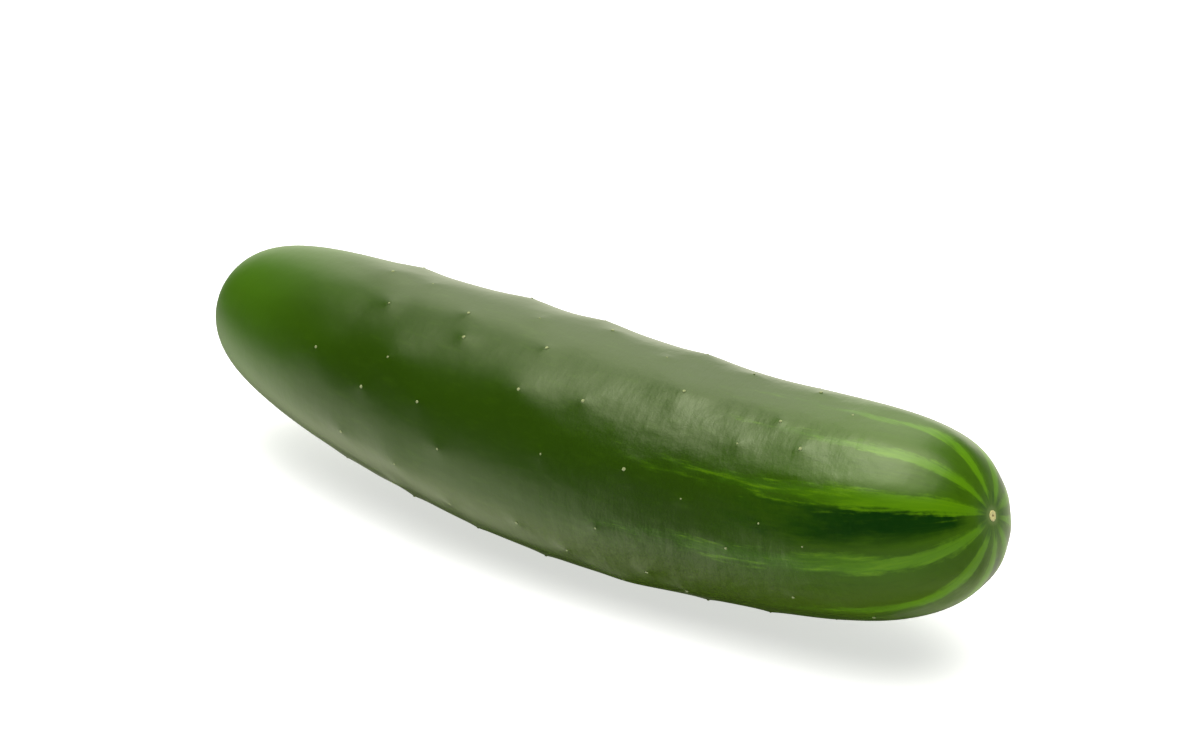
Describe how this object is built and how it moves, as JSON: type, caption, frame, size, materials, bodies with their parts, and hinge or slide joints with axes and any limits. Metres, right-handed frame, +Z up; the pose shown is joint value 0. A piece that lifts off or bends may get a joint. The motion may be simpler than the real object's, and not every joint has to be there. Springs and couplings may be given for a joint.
{
  "type": "cucumber",
  "caption": "Slicing cucumber lying on its side: a gently bowed fruit with low warts, full rounded ends, a small blossom scar and a stem scar.",
  "frame": {"origin": "middle of the bottom of the fruit's box, on the surface that it lies on", "axes": "+X from the stem end to the blossom end, +Z up, +Y towards the inside of the fruit's bow"},
  "size_m": [0.2112, 0.0542, 0.0537],
  "materials": {
    "skin": "waxy satin green skin, deep green along the barrel, with yellow-green stripes towards the blossom end",
    "scar": "dry, matte and corky: the blossom scar, the stem scar and the small spine scars"
  },
  "bodies": {
    "root": {"cucumber": "skin"}
  },
  "joints": []
}
